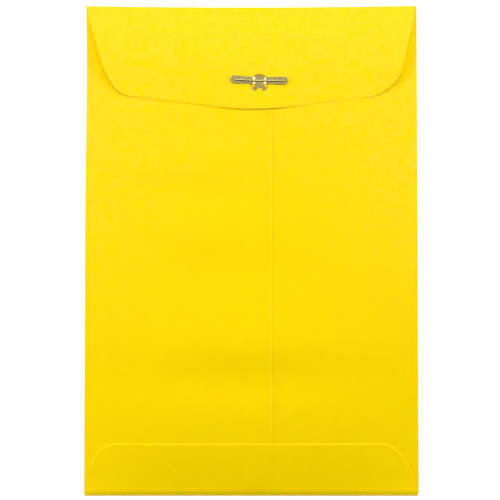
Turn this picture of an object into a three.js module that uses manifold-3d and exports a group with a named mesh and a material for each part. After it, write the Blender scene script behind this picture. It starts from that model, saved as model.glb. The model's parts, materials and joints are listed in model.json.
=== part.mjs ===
// A clasp envelope, closed and lying on its address side with the seam side up.
// One paper blank is scored and folded into a pocket that opens at the top, and a stamped metal clasp
// on the back holds the closure flap: its two prongs go up through a hole in the flap and fold down over it.
// Millimetres, +Z up, +Y towards the closure flap's fold, origin at the centre of the face it lies on.
import * as THREE from "three";
import { mergeVertices } from "three/addons/utils/BufferGeometryUtils.js";
import Module from "manifold-3d";

// Paper and pocket
const WIDTH = 163.7; // 6 1/2 in, less what its folds take
const HEIGHT = 241.3; // 9 1/2 in
const PAPER = 0.15; // thickness of the sheet
const POCKET_HEIGHT = 4.75; // free height inside, over the flat middle of the back
const CREASE_GAP = 0.3; // free height inside, at the side creases
const LAYER_GAP = 0.1; // between two sheets that lie on each other, where the gum goes
const GUM = 0.04; // thickness of a gum line
const FLAT_HALF_WIDTH = 24; // the back is flat this far each side of the middle
const FLAT_FOOT = 60; // and from this far above the foot crease
const TUCK_GAP = 0.3; // from the foot crease's centre to the end of the side panels

// Centre seam
const SEAM_EDGE = 10.3; // cut edge of the left panel, right of the middle
const SEAM_OVERLAP = 12.4;
const SEAM_GUM_WIDTH = 7;
const SEAM_GUM_END = 4; // left free of gum at each end of the seam
const SEAM_FALL = 28; // the foot flap settles from the seam's step over this width
const SEAM_FALL_START = 2; // from the left panel's edge to where it starts to settle

// Mouth
const THROAT = 15; // from the top fold to the mouth's edge at the middle
const THROAT_FLAT = 38; // the mouth's edge is straight this far each side of the middle
const THROAT_CORNER = 4.5; // from the top fold to the mouth's edge at the side creases

// Foot flap
const FOOT_FLAP = 25.6; // from the foot crease to the flap's edge
const FOOT_FLAP_INSET = 0.5; // from the side of the envelope, at the crease
const FOOT_CORNER_START = [0.1, 2.5]; // in from its side and up from the crease, to its round corner
const FOOT_CORNER_SIDE = [1.3, 16.5]; // and to the control point of its start
const FOOT_CORNER_EDGE = 5.8; // in from the flap's side, to the control point of its end
const FOOT_CORNER_END = 16.3; // and to its end
const FOOT_FLAP_SETTLE = 6; // the flap settles from the crease's height over this length
const FOOT_GUM_WIDTH = 10;
const FOOT_GUM_MARGIN = 3; // from the flap's edge

// Closure flap
const FLAP_DEPTH = 51.8; // from the fold to the tip, at the middle
const FLAP_SHOULDER_DEPTH = 45; // from the fold to where the lower edge meets the round shoulder
const FLAP_SHOULDER_INSET = 20.6; // and that point's inset from the side of the envelope
const FLAP_SIDE_DEPTH = 27; // from the fold to where the side edge meets the round shoulder
const FLAP_SIDE_INSET = 6.7;
const FLAP_TOP_INSET = 0.2;
const FLAP_SIDE_BOW = 2.45; // in from its top corner, to the control point of the curved side edge
const SHOULDER_FROM_SIDE = [2.4, 8]; // in and down, to the control point of the round shoulder's start
const SHOULDER_FROM_EDGE = [7, 1.05]; // out and up, to the control point of its end
const FLAP_TIP_ROUND = 33; // half width of the round tip
const FLAP_DROOP = 3.2; // how far the sides hang below the middle, from the bend to the tip
const FOLD_INSET = 0.1; // from the top edge to the fold's axis
const FOLD_HEIGHT = 0.3; // the fold's axis above the face it lies on
const BEND_BEHIND_THROAT = 0.5; // the flap bends level this far past the mouth's edge
const SHEET_SLIT = 0.1; // between the two leaves at each line that the flap turns on
const FLAP_GUM_WIDTH = 13;
const FLAP_GUM_MARGIN = 3; // from the flap's edge
const FLAP_GUM_SIDE = 16; // from the side of the envelope
const FLAP_GUM_GAP = 0.06; // between the gum and the curved flap

// Clasp
const CLASP_X = 4; // right of the middle
const CLASP_DEPTH = 38; // from the top fold to the line of the prongs
const METAL = 0.25; // thickness of the stamping
const TORSO_HALF_WIDTH = 1.95;
const TORSO_BELOW = 2.2; // from the clasp's centre down to where the lower feet splay
const TORSO_ABOVE = 1.8; // and up to the upper ones
const FOOT_X = 4.2; // middle of a foot's end, from the clasp's centre
const FOOT_Y = 5.9;
const FOOT_HALF_WIDTH = 0.75;
const LOWER_FOOT_SIDE = 4.6; // a foot's outer side meets its slanting side this far from the centre
const UPPER_FOOT_SIDE = 3;
const NOTCH_Y = 3.4; // from the clasp's centre to the notch between two feet
const NOTCH_HALF_WIDTH = 1.7;
const NOTCH_MOUTH = 0.9; // from the notch's end out to where its round part begins
const NOTCH_ROUND = [0.65, 0.15]; // a point of the round part: share of the half width, and its rise
const BASE_RIB_HEIGHT = 0.2;
const RIB_HALF_WIDTH = 0.85;
const TANG_WIDTH = 1;
const TANG_CLINCH = 1.4; // length turned under the paper
const TANG_SEAT = 0.04; // between the clinched tang and the paper
const SLIT_CLEARANCE = 0.2; // round a tang, in the paper and the gum
const PRONG_HINGE_X = 2.15; // bend line, from the clasp's centre
const PRONG_LENGTH = 12.1; // from the bend line to the tip
const PRONG_ROOT_HALF_WIDTH = 1.7;
const PRONG_TIP_HALF_WIDTH = 1.95;
const PRONG_STEP_START = 0.35; // the step over the hole's edge, from the bend line
const PRONG_STEP_END = 1.3;
const PRONG_STEP_FOOT = 0.06; // the step's height at its start
const PRONG_STEP_MIDDLE = 0.55; // share of its whole height that it has halfway along
const PRONG_STEP_EASE = 0.5; // it turns level over this length
const PRONG_TIP_LIFT = 0.45; // the tip stands this far off the level
const PRONG_CLEARANCE = 0.1; // over the flap
const PRONG_RIB_START = 1.6; // from the bend line
const PRONG_RIB_MARGIN = 1.6; // from the end of the rib to the tip
const PRONG_RIB_HEIGHT = 0.28;
const PRONG_RIB_DRAW = 0.8; // the rib's hollow lies this share of the metal's thickness under its top
const LEFT_PRONG_SLANT = 3.5; // degrees, as it was folded down by hand

// Hole in the closure flap and its reinforcement
const HOLE_RADIUS = 4.6;
const HOLE_DEPTH = 38.9; // from the top fold to its centre
const EYELET_HALF_WIDTH = 12;
const EYELET_HALF_HEIGHT = 8;
const EYELET_CORNER = 2;
const EYELET_CLEARANCE = 0.1; // between the clasp's feet and the patch
const EYELET_GUM_GAP = 1; // between the patch and the flap's gum

const SPARE = 1; // a cutting shape is this much larger than what it cuts

// Heights and lines that follow from them
const sideRadius = (2 * PAPER + CREASE_GAP) / 2; // outer radius of a side crease
const creaseX = WIDTH / 2 - sideRadius;
const layer = PAPER + LAYER_GAP;
const roofAtCrease = PAPER + CREASE_GAP;
const footRadius = (roofAtCrease + 2 * layer + PAPER) / 2; // outer radius of the foot crease
const footY = -HEIGHT / 2 + footRadius;
const flatFootY = -HEIGHT / 2 + FLAT_FOOT;
const topY = HEIGHT / 2;
const throatY = topY - THROAT;
const foldY = topY - FOLD_INSET;
const bendY = throatY - BEND_BEHIND_THROAT;
const tipY = topY - FLAP_DEPTH;
const shoulderX = WIDTH / 2 - FLAP_SHOULDER_INSET;
const shoulderY = topY - FLAP_SHOULDER_DEPTH;
const lowerEdgeSlope = (shoulderY - tipY) / (shoulderX - FLAP_TIP_ROUND / 2);
const tipStartY = shoulderY - lowerEdgeSlope * (shoulderX - FLAP_TIP_ROUND);
const backTop = PAPER + POCKET_HEIGHT + layer + PAPER; // outer face of the back, over the seam
const flapUnder = backTop + METAL + EYELET_CLEARANCE + PAPER; // inner face of the closure flap
const claspY = topY - CLASP_DEPTH;
const holeY = topY - HOLE_DEPTH;

const wasm = await Module();
wasm.setup();

const materials = {
  paper: { color: 0xffe114, roughness: 0.85, metalness: 0 },
  gum: { color: 0xf0d648, roughness: 0.3, metalness: 0 },
  metal: { color: 0xb3a065, roughness: 0.3, metalness: 1 },
};

// A closed triangle mesh as a solid that can be cut and joined.
function solid(geometry) {
  const bare = geometry.clone();
  bare.deleteAttribute("normal");
  bare.deleteAttribute("uv");
  const merged = mergeVertices(bare, 1e-4);
  return new wasm.Manifold(
    new wasm.Mesh({
      numProp: 3,
      vertProperties: merged.getAttribute("position").array,
      triVerts: new Uint32Array(merged.index.array),
    }),
  );
}

function mesh(name, material, shape) {
  const cut = shape.getMesh();
  const geometry = new THREE.BufferGeometry();
  geometry.setAttribute("position", new THREE.BufferAttribute(cut.vertProperties, 3));
  geometry.setIndex(new THREE.BufferAttribute(cut.triVerts, 1));
  geometry.computeVertexNormals();
  const made = new THREE.Mesh(geometry, new THREE.MeshStandardMaterial(materials[material]));
  made.name = name;
  return made;
}

function extruded(shape, low, high, curveSegments = 16) {
  const options = { depth: high - low, bevelEnabled: false, curveSegments };
  return new THREE.ExtrudeGeometry(shape, options).translate(0, 0, low);
}

function block(width, height, depth, x, y, z) {
  return solid(new THREE.BoxGeometry(width, height, depth).translate(x, y, z));
}

// Evenly spaced values, both ends included, with each value of extra put in its place.
function spread(from, to, steps, extra = []) {
  const even = Array.from({ length: steps + 1 }, (_, i) => from + ((to - from) * i) / steps);
  const inside = extra.filter((value) => value > Math.min(from, to) && value < Math.max(from, to));
  return [...new Set([...even, ...inside])].sort((a, b) => (to > from ? a - b : b - a));
}

// A closed sheet between two grids of points: lower(i, j) and upper(i, j) give its two faces.
function sheet(columns, rows, lower, upper) {
  const points = [];
  for (const face of [lower, upper]) {
    for (let j = 0; j < rows; j++) {
      for (let i = 0; i < columns; i++) points.push(...face(i, j));
    }
  }
  const at = (face, i, j) => face * columns * rows + j * columns + i;
  const index = [];
  const quad = (a, b, c, d) => index.push(a, b, c, a, c, d);
  for (let j = 0; j < rows - 1; j++) {
    for (let i = 0; i < columns - 1; i++) {
      quad(at(0, i, j), at(0, i, j + 1), at(0, i + 1, j + 1), at(0, i + 1, j));
      quad(at(1, i, j), at(1, i + 1, j), at(1, i + 1, j + 1), at(1, i, j + 1));
    }
    quad(at(0, 0, j), at(1, 0, j), at(1, 0, j + 1), at(0, 0, j + 1));
    const last = columns - 1;
    quad(at(0, last, j), at(0, last, j + 1), at(1, last, j + 1), at(1, last, j));
  }
  for (let i = 0; i < columns - 1; i++) {
    const last = rows - 1;
    quad(at(0, i, 0), at(0, i + 1, 0), at(1, i + 1, 0), at(1, i, 0));
    quad(at(0, i, last), at(1, i, last), at(1, i + 1, last), at(0, i + 1, last));
  }
  const geometry = new THREE.BufferGeometry();
  geometry.setAttribute("position", new THREE.Float32BufferAttribute(points, 3));
  geometry.setIndex(index);
  return solid(geometry);
}

// A sheet over a rectangle, whose lower face is at under(x, y).
function draped(xs, ys, under, thickness) {
  const lower = (i, j) => [xs[i], ys[j], under(xs[i], ys[j])];
  const upper = (i, j) => [xs[i], ys[j], under(xs[i], ys[j]) + thickness];
  return sheet(xs.length, ys.length, lower, upper);
}

const share = (value) => THREE.MathUtils.clamp(value, 0, 1);
const smooth = (value) => THREE.MathUtils.smoothstep(value, 0, 1);

// How far across the side slope a point lies: 0 over the flat middle, 1 at a side crease.
const acrossSlope = (x) => share((Math.abs(x) - FLAT_HALF_WIDTH) / (creaseX - FLAT_HALF_WIDTH));

// The pocket's roof, which is the inner face of the back's lower layer.
function roof(x, y) {
  const down = share((flatFootY - y) / (flatFootY - footY));
  const rise = PAPER + POCKET_HEIGHT - roofAtCrease;
  return roofAtCrease + rise * (1 - acrossSlope(x) ** 2) * (1 - down ** 2);
}

// The left panel climbs from its crease to lie on the right panel at the seam.
const seamLift = (x) => smooth((x + creaseX) / (creaseX - FLAT_HALF_WIDTH));
const rightUnder = (x, y) => roof(x, y);
const leftUnder = (x, y) => roof(x, y) + layer * seamLift(x);

// The foot flap lies on both panels, and takes up the seam's step and the crease's height.
function footFlapUnder(x, y) {
  const overSeam = seamLift(x) * (1 - smooth((x - SEAM_EDGE - SEAM_FALL_START) / SEAM_FALL));
  const nearCrease = 1 - smooth((y - footY) / FOOT_FLAP_SETTLE);
  return roof(x, y) + layer + layer * Math.max(overSeam, nearCrease);
}

// The mouth's edge dips from the side creases to the middle.
function mouthY(x) {
  const out = share((Math.abs(x) - THROAT_FLAT) / (creaseX - THROAT_FLAT));
  return throatY + (THROAT - THROAT_CORNER) * out ** 2;
}

// Places of the four tangs, and the cuts that let them through the paper.
const feet = [
  [-1, -1],
  [1, -1],
  [-1, 1],
  [1, 1],
].map(([sx, sy]) => ({ x: CLASP_X + sx * FOOT_X, y: claspY + sy * (FOOT_Y - METAL / 2), inward: -sy }));

function withoutSlits(shape) {
  return feet.reduce((rest, foot) => {
    const width = TANG_WIDTH + 2 * SLIT_CLEARANCE;
    const height = METAL + 2 * SLIT_CLEARANCE;
    return rest.subtract(block(width, height, 2 * HEIGHT, foot.x, foot.y, 0));
  }, shape);
}

function frontPanel() {
  const length = topY - footY;
  return block(2 * creaseX, length, PAPER, 0, topY - length / 2, PAPER / 2);
}

// A side panel runs round its crease and on to its edge at the seam. side is -1 for the left one.
function sidePanel(side, edge, under) {
  const arc = spread(-Math.PI / 2, -Math.PI * 1.5, 8); // round the crease, from below to above
  const xs = spread(side * creaseX, edge, 13, [side * FLAT_HALF_WIDTH]).slice(1);
  const bottom = footY + TUCK_GAP;
  const rows = 23;
  const face = (radius, lift) => (i, j) => {
    const onArc = i < arc.length;
    const x = onArc ? side * creaseX : xs[i - arc.length];
    const y = bottom + ((mouthY(x) - bottom) * j) / (rows - 1);
    if (!onArc) return [x, y, under(x, y) + lift];
    const out = -Math.cos(arc[i]) * radius;
    return [x + side * out, y, sideRadius + Math.sin(arc[i]) * radius];
  };
  const inner = face(sideRadius - PAPER, 0);
  const outer = face(sideRadius, PAPER);
  const faces = side < 0 ? [inner, outer] : [outer, inner];
  return withoutSlits(sheet(arc.length + xs.length, rows, ...faces));
}

function seamGum() {
  const middle = SEAM_EDGE - SEAM_OVERLAP / 2;
  const xs = spread(middle - SEAM_GUM_WIDTH / 2, middle + SEAM_GUM_WIDTH / 2, 2);
  const ys = spread(footY + SEAM_GUM_END, throatY - SEAM_GUM_END, 26, [flatFootY]);
  const under = (x, y) => rightUnder(x, y) + PAPER + (LAYER_GAP - GUM) / 2;
  return withoutSlits(draped(xs, ys, under, GUM));
}

function footFlapOutline() {
  const half = WIDTH / 2 - FOOT_FLAP_INSET;
  const low = -HEIGHT / 2;
  const high = low + FOOT_FLAP;
  const [startX, startY] = [half - FOOT_CORNER_START[0], low + FOOT_CORNER_START[1]];
  const [sideX, sideY] = [half - FOOT_CORNER_SIDE[0], low + FOOT_CORNER_SIDE[1]];
  const edgeX = half - FOOT_CORNER_EDGE;
  const endX = half - FOOT_CORNER_END;
  const shape = new THREE.Shape();
  shape.moveTo(-half, low);
  shape.lineTo(half, low);
  shape.lineTo(startX, startY);
  shape.bezierCurveTo(sideX, sideY, edgeX, high, endX, high);
  shape.lineTo(-endX, high);
  shape.bezierCurveTo(-edgeX, high, -sideX, sideY, -startX, startY);
  shape.closePath();
  return shape;
}

function footFlap() {
  const xs = spread(-creaseX, creaseX, 26, [-FLAT_HALF_WIDTH, FLAT_HALF_WIDTH, SEAM_EDGE]);
  const arc = spread(-Math.PI / 2, -Math.PI * 1.5, 8);
  const ys = spread(footY, -HEIGHT / 2 + FOOT_FLAP + SPARE, 9, [footY + FOOT_FLAP_SETTLE / 2]).slice(1);
  const face = (radius, lift) => (i, j) => {
    if (j >= arc.length) {
      const y = ys[j - arc.length];
      return [xs[i], y, footFlapUnder(xs[i], y) + lift];
    }
    const out = -Math.cos(arc[j]) * radius;
    return [xs[i], footY - out, footRadius + Math.sin(arc[j]) * radius];
  };
  const rows = arc.length + ys.length;
  const whole = sheet(xs.length, rows, face(footRadius - PAPER, 0), face(footRadius, PAPER));
  return whole.intersect(solid(extruded(footFlapOutline(), -SPARE, 2 * POCKET_HEIGHT)));
}

function footGum() {
  const half = WIDTH / 2 - FOOT_FLAP_INSET - FOOT_CORNER_END;
  const high = -HEIGHT / 2 + FOOT_FLAP - FOOT_GUM_MARGIN;
  const xs = spread(-half, half, 22, [-FLAT_HALF_WIDTH, FLAT_HALF_WIDTH, SEAM_EDGE]);
  const under = (x, y) => footFlapUnder(x, y) - (LAYER_GAP + GUM) / 2;
  return draped(xs, spread(high - FOOT_GUM_WIDTH, high, 4), under, GUM);
}

// The closure flap as it shows from above: slanting sides, round shoulders, and a lower edge
// that is straight from each shoulder to the round tip.
function flapOutline() {
  const top = WIDTH / 2 - FLAP_TOP_INSET;
  const side = WIDTH / 2 - FLAP_SIDE_INSET;
  const sideY = topY - FLAP_SIDE_DEPTH;
  const bowX = top - FLAP_SIDE_BOW;
  const bowY = topY - FLAP_SIDE_DEPTH / 2;
  const [startX, startY] = [side - SHOULDER_FROM_SIDE[0], sideY - SHOULDER_FROM_SIDE[1]];
  const [endX, endY] = [shoulderX + SHOULDER_FROM_EDGE[0], shoulderY + SHOULDER_FROM_EDGE[1]];
  const shape = new THREE.Shape();
  shape.moveTo(-top, topY);
  shape.quadraticCurveTo(-bowX, bowY, -side, sideY);
  shape.bezierCurveTo(-startX, startY, -endX, endY, -shoulderX, shoulderY);
  shape.lineTo(-FLAP_TIP_ROUND, tipStartY);
  shape.quadraticCurveTo(0, 2 * tipY - tipStartY, FLAP_TIP_ROUND, tipStartY);
  shape.lineTo(shoulderX, shoulderY);
  shape.bezierCurveTo(endX, endY, startX, startY, side, sideY);
  shape.quadraticCurveTo(bowX, bowY, top, topY);
  shape.closePath();
  return shape;
}

function lowerEdgeY(x) {
  const away = Math.abs(x);
  if (away < FLAP_TIP_ROUND) return tipY + (tipStartY - tipY) * (away / FLAP_TIP_ROUND) ** 2;
  return tipStartY + (away - FLAP_TIP_ROUND) * lowerEdgeSlope;
}

const insideFlap = (shape) => shape.intersect(solid(extruded(flapOutline(), -SPARE, 2 * flapUnder, 10)));

const clearOfHole = (shape) =>
  shape.subtract(
    solid(
      new THREE.CylinderGeometry(HOLE_RADIUS, HOLE_RADIUS, 4 * flapUnder, 40)
        .rotateX(Math.PI / 2)
        .translate(CLASP_X, holeY, 0),
    ),
  );

// The flap's middle surface is level past the bend, its sides hang lower than its middle as the back's
// do, and from the bend it leans down over the mouth to the straight fold.
const flapXs = spread(-WIDTH / 2, WIDTH / 2, 26, [-FLAT_HALF_WIDTH, FLAT_HALF_WIDTH]);
const leafUnder = (x) => flapUnder - FLAP_DROOP * acrossSlope(x) ** 2;

function flapRoot() {
  const half = PAPER / 2 / Math.cos(Math.atan((leafUnder(0) - FOLD_HEIGHT) / (foldY - bendY)));
  const rise = (x) => (leafUnder(x) + PAPER / 2 - FOLD_HEIGHT) / (foldY - bendY);
  const under = (x, y) => FOLD_HEIGHT + (foldY - y) * rise(x) - half;
  const ys = spread(bendY + SHEET_SLIT / 2, foldY - SHEET_SLIT / 2, 3);
  return insideFlap(draped(flapXs, ys, under, 2 * half));
}

function closureFlap() {
  const ys = spread(tipY - SPARE, bendY - SHEET_SLIT / 2, 8);
  return clearOfHole(insideFlap(draped(flapXs, ys, leafUnder, PAPER)));
}

function closureGum() {
  const half = WIDTH / 2 - FLAP_GUM_SIDE;
  const xs = [-half, ...flapXs.filter((x) => Math.abs(x) < half - SPARE), half];
  const rows = 5;
  const face = (lift) => (i, j) => {
    const y = lowerEdgeY(xs[i]) + FLAP_GUM_MARGIN + (FLAP_GUM_WIDTH * j) / (rows - 1);
    return [xs[i], y, leafUnder(xs[i]) + lift];
  };
  const band = sheet(xs.length, rows, face(-FLAP_GUM_GAP - GUM), face(-FLAP_GUM_GAP));
  const width = 2 * (EYELET_HALF_WIDTH + EYELET_GUM_GAP);
  const height = 2 * (EYELET_HALF_HEIGHT + EYELET_GUM_GAP);
  return band.subtract(block(width, height, 4 * flapUnder, CLASP_X, holeY + EYELET_GUM_GAP, 0));
}

function eyeletPatch() {
  const w = EYELET_HALF_WIDTH;
  const h = EYELET_HALF_HEIGHT;
  const r = EYELET_CORNER;
  const shape = new THREE.Shape();
  shape.absarc(w - r, h - r, r, 0, Math.PI / 2);
  shape.absarc(r - w, h - r, r, Math.PI / 2, Math.PI);
  shape.absarc(r - w, r - h, r, Math.PI, Math.PI * 1.5);
  shape.absarc(w - r, r - h, r, Math.PI * 1.5, Math.PI * 2);
  shape.closePath();
  const plate = extruded(shape, flapUnder - PAPER, flapUnder, 4).translate(CLASP_X, holeY, 0);
  return clearOfHole(solid(plate));
}

// One pair of splayed feet, from the torso's right side to its left, with the round notch between them.
function feetOutline(torsoEnd, footSide) {
  const right = [
    [TORSO_HALF_WIDTH, torsoEnd],
    [FOOT_X + FOOT_HALF_WIDTH, footSide],
    [FOOT_X + FOOT_HALF_WIDTH, FOOT_Y],
    [FOOT_X - FOOT_HALF_WIDTH, FOOT_Y],
    [NOTCH_HALF_WIDTH, NOTCH_Y + NOTCH_MOUTH],
    [NOTCH_HALF_WIDTH * NOTCH_ROUND[0], NOTCH_Y + NOTCH_ROUND[1]],
  ];
  const left = right.map(([x, y]) => [-x, y]).reverse();
  return [...right, [0, NOTCH_Y], ...left];
}

// The clasp's base: a torso between two pairs of feet.
function baseOutline() {
  const upper = feetOutline(TORSO_ABOVE, UPPER_FOOT_SIDE);
  const lower = feetOutline(TORSO_BELOW, LOWER_FOOT_SIDE).map(([x, y]) => [-x, -y]);
  return new THREE.Shape([...upper, ...lower].map(([x, y]) => new THREE.Vector2(x, y)));
}

function claspBase() {
  const plate = solid(extruded(baseOutline(), backTop, backTop + METAL).translate(CLASP_X, claspY, 0));
  const rib = solid(
    new THREE.CylinderGeometry(1, 1, 2 * TORSO_HALF_WIDTH, 16)
      .rotateZ(Math.PI / 2)
      .scale(1, RIB_HALF_WIDTH, METAL / 2 + BASE_RIB_HEIGHT)
      .translate(CLASP_X, claspY, backTop + METAL / 2),
  ).intersect(block(WIDTH, HEIGHT, METAL + 2 * BASE_RIB_HEIGHT, 0, 0, backTop + METAL / 2 + BASE_RIB_HEIGHT));
  const paperUnder = PAPER + POCKET_HEIGHT;
  const hookTop = paperUnder - TANG_SEAT;
  const tangs = feet.flatMap(({ x, y, inward }) => {
    const legHeight = backTop + METAL - hookTop + METAL;
    const leg = block(TANG_WIDTH, METAL, legHeight, x, y, backTop + METAL - legHeight / 2);
    const hookY = y + (inward * TANG_CLINCH) / 2;
    const hook = block(TANG_WIDTH, TANG_CLINCH, METAL, x, hookY, hookTop - METAL / 2);
    return [leg, hook];
  });
  return [rib, ...tangs].reduce((whole, part) => whole.add(part), plate);
}

// A strip of the given thickness along a line of [distance, height] points, as a shape.
function ribbon(line, thickness) {
  const normals = line.map((point, i) => {
    const before = line[Math.max(i - 1, 0)];
    const after = line[Math.min(i + 1, line.length - 1)];
    return new THREE.Vector2(before[1] - after[1], after[0] - before[0]).normalize();
  });
  const offset = (side) =>
    line.map(([s, h], i) => new THREE.Vector2(s, h).addScaledVector(normals[i], (side * thickness) / 2));
  return new THREE.Shape([...offset(-1), ...offset(1).reverse()]);
}

// A prong lies along +X from its bend line at the origin, its root level with the clasp's base.
function prong() {
  const level = flapUnder + PAPER + PRONG_CLEARANCE - backTop;
  const slope = PRONG_TIP_LIFT / (PRONG_LENGTH - PRONG_STEP_END);
  const line = [
    [0, 0],
    [PRONG_STEP_START, PRONG_STEP_FOOT],
    [(PRONG_STEP_START + PRONG_STEP_END) / 2, level * PRONG_STEP_MIDDLE],
    [PRONG_STEP_END, level],
    [PRONG_STEP_END + PRONG_STEP_EASE, level + slope * PRONG_STEP_EASE],
    [PRONG_LENGTH, level + PRONG_TIP_LIFT],
  ];
  const spareHalf = PRONG_TIP_HALF_WIDTH + SPARE;
  const strip = solid(extruded(ribbon(line, METAL), -spareHalf, spareHalf).rotateX(Math.PI / 2));
  const outline = new THREE.Shape();
  const endX = PRONG_LENGTH - PRONG_TIP_HALF_WIDTH;
  outline.moveTo(-SPARE, -PRONG_ROOT_HALF_WIDTH);
  outline.lineTo(PRONG_STEP_END, -PRONG_ROOT_HALF_WIDTH);
  outline.lineTo(endX, -PRONG_TIP_HALF_WIDTH);
  outline.absarc(endX, 0, PRONG_TIP_HALF_WIDTH, -Math.PI / 2, Math.PI / 2);
  outline.lineTo(PRONG_STEP_END, PRONG_ROOT_HALF_WIDTH);
  outline.lineTo(-SPARE, PRONG_ROOT_HALF_WIDTH);
  outline.closePath();
  const blank = strip.intersect(solid(extruded(outline, -PRONG_LENGTH, PRONG_LENGTH, 10)));
  const ribEnd = PRONG_LENGTH - PRONG_RIB_MARGIN;
  const ribLength = ribEnd - PRONG_RIB_START - 2 * RIB_HALF_WIDTH;
  const ribMiddle = (PRONG_RIB_START + ribEnd) / 2;
  const heightAt = (s) => level + slope * (s - PRONG_STEP_END);
  const pressed = (drop) =>
    solid(
      new THREE.CapsuleGeometry(RIB_HALF_WIDTH, ribLength, 4, 16)
        .rotateZ(Math.PI / 2)
        .scale(1, 1, (PRONG_RIB_HEIGHT + METAL / 2) / RIB_HALF_WIDTH)
        .rotateY(-Math.atan(slope))
        .translate(ribMiddle, 0, heightAt(ribMiddle) - drop),
    );
  const hollow = pressed(METAL * PRONG_RIB_DRAW);
  const underHalf = block(4 * PRONG_LENGTH, PRONG_LENGTH, PRONG_LENGTH, 0, 0, -(PRONG_LENGTH + METAL) / 2)
    .rotate([0, (-Math.atan(slope) * 180) / Math.PI, 0])
    .translate([ribMiddle, 0, heightAt(ribMiddle)]);
  return blank.add(pressed(0)).subtract(underHalf.intersect(pressed(0))).subtract(hollow);
}

const envelope = new THREE.Group();
const seamLower = SEAM_EDGE - SEAM_OVERLAP;
envelope.add(
  mesh("front_panel", "paper", frontPanel()),
  mesh("left_side_panel", "paper", sidePanel(-1, SEAM_EDGE, leftUnder)),
  mesh("right_side_panel", "paper", sidePanel(1, seamLower, rightUnder)),
  mesh("seam_gum", "gum", seamGum()),
  mesh("foot_flap", "paper", footFlap()),
  mesh("foot_flap_gum", "gum", footGum()),
  mesh("flap_root", "paper", flapRoot()),
  mesh("closure_flap", "paper", closureFlap()),
  mesh("closure_gum", "gum", closureGum()),
  mesh("eyelet_patch", "paper", eyeletPatch()),
  mesh("clasp_base", "metal", claspBase()),
);

const hingeZ = backTop + METAL / 2;
const leftProng = mesh("left_prong", "metal", prong());
leftProng.position.set(CLASP_X - PRONG_HINGE_X, claspY, hingeZ);
leftProng.rotation.z = Math.PI - THREE.MathUtils.degToRad(LEFT_PRONG_SLANT);
const rightProng = mesh("right_prong", "metal", prong());
rightProng.position.set(CLASP_X + PRONG_HINGE_X, claspY, hingeZ);
envelope.add(leftProng, rightProng);

export default envelope;
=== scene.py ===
import json
import math

import bpy
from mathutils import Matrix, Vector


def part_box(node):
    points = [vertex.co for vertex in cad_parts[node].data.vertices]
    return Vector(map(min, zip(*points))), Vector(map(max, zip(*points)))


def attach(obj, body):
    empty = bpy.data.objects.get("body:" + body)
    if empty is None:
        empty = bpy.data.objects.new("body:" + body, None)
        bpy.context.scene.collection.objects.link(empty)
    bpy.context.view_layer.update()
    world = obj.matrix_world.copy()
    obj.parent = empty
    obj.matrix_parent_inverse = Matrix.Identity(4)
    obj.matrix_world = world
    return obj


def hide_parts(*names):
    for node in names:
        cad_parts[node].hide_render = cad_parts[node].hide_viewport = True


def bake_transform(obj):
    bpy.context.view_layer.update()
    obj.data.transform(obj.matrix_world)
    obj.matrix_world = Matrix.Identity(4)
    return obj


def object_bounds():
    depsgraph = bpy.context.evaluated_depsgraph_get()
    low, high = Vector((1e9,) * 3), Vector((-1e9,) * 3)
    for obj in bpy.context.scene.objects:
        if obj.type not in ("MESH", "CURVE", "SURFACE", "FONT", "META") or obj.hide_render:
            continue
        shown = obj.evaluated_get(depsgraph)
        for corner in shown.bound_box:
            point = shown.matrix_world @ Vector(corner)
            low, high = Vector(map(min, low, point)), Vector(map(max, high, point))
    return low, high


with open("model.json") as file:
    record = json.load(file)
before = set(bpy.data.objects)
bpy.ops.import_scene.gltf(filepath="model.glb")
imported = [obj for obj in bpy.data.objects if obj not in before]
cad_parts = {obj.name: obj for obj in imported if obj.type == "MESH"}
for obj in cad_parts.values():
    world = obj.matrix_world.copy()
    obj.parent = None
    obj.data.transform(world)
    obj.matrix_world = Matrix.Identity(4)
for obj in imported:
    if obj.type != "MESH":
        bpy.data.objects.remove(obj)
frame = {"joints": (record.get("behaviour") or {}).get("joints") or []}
cad_box = [list(corner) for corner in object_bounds()]


# The bench: a clasp envelope lies closed on white, seam side up, and is seen from straight above.
# Its foot is a little nearer to the camera than its top. Soft light comes from beyond the top edge.
scene = bpy.context.scene
scene.view_settings.view_transform = "Standard"
MM = 0.001
ENVELOPE_LOW, ENVELOPE_HIGH = cad_box
FOCAL_LENGTH = 100
SENSOR = 36
VIEW_DISTANCE = 684 * MM
VIEW_TILT = math.radians(2.1)
VIEW_SHIFT_X = -0.0027
VIEW_SHIFT_Y = -0.0018


def link(thing):
    scene.collection.objects.link(thing)
    return thing


camera_data = bpy.data.cameras.new("overhead_camera")
camera_data.lens = FOCAL_LENGTH
camera_data.sensor_width = SENSOR
camera_data.shift_x = VIEW_SHIFT_X
camera_data.shift_y = VIEW_SHIFT_Y
camera = link(bpy.data.objects.new("overhead_camera", camera_data))
camera.location = (0, -VIEW_DISTANCE * math.sin(VIEW_TILT), VIEW_DISTANCE * math.cos(VIEW_TILT))
camera.rotation_euler = (VIEW_TILT, 0, 0)
scene.camera = camera


def soft_light(name, place, tilt, lean, width, height, power):
    """A rectangular lamp over the bench, turned by tilt about X and by lean about Y, in degrees."""
    lamp = bpy.data.lights.new(name, "AREA")
    lamp.shape = "RECTANGLE"
    lamp.size = width
    lamp.size_y = height
    lamp.energy = power
    made = link(bpy.data.objects.new(name, lamp))
    made.location = place
    made.rotation_euler = (math.radians(tilt), math.radians(lean), 0)
    return made


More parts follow.
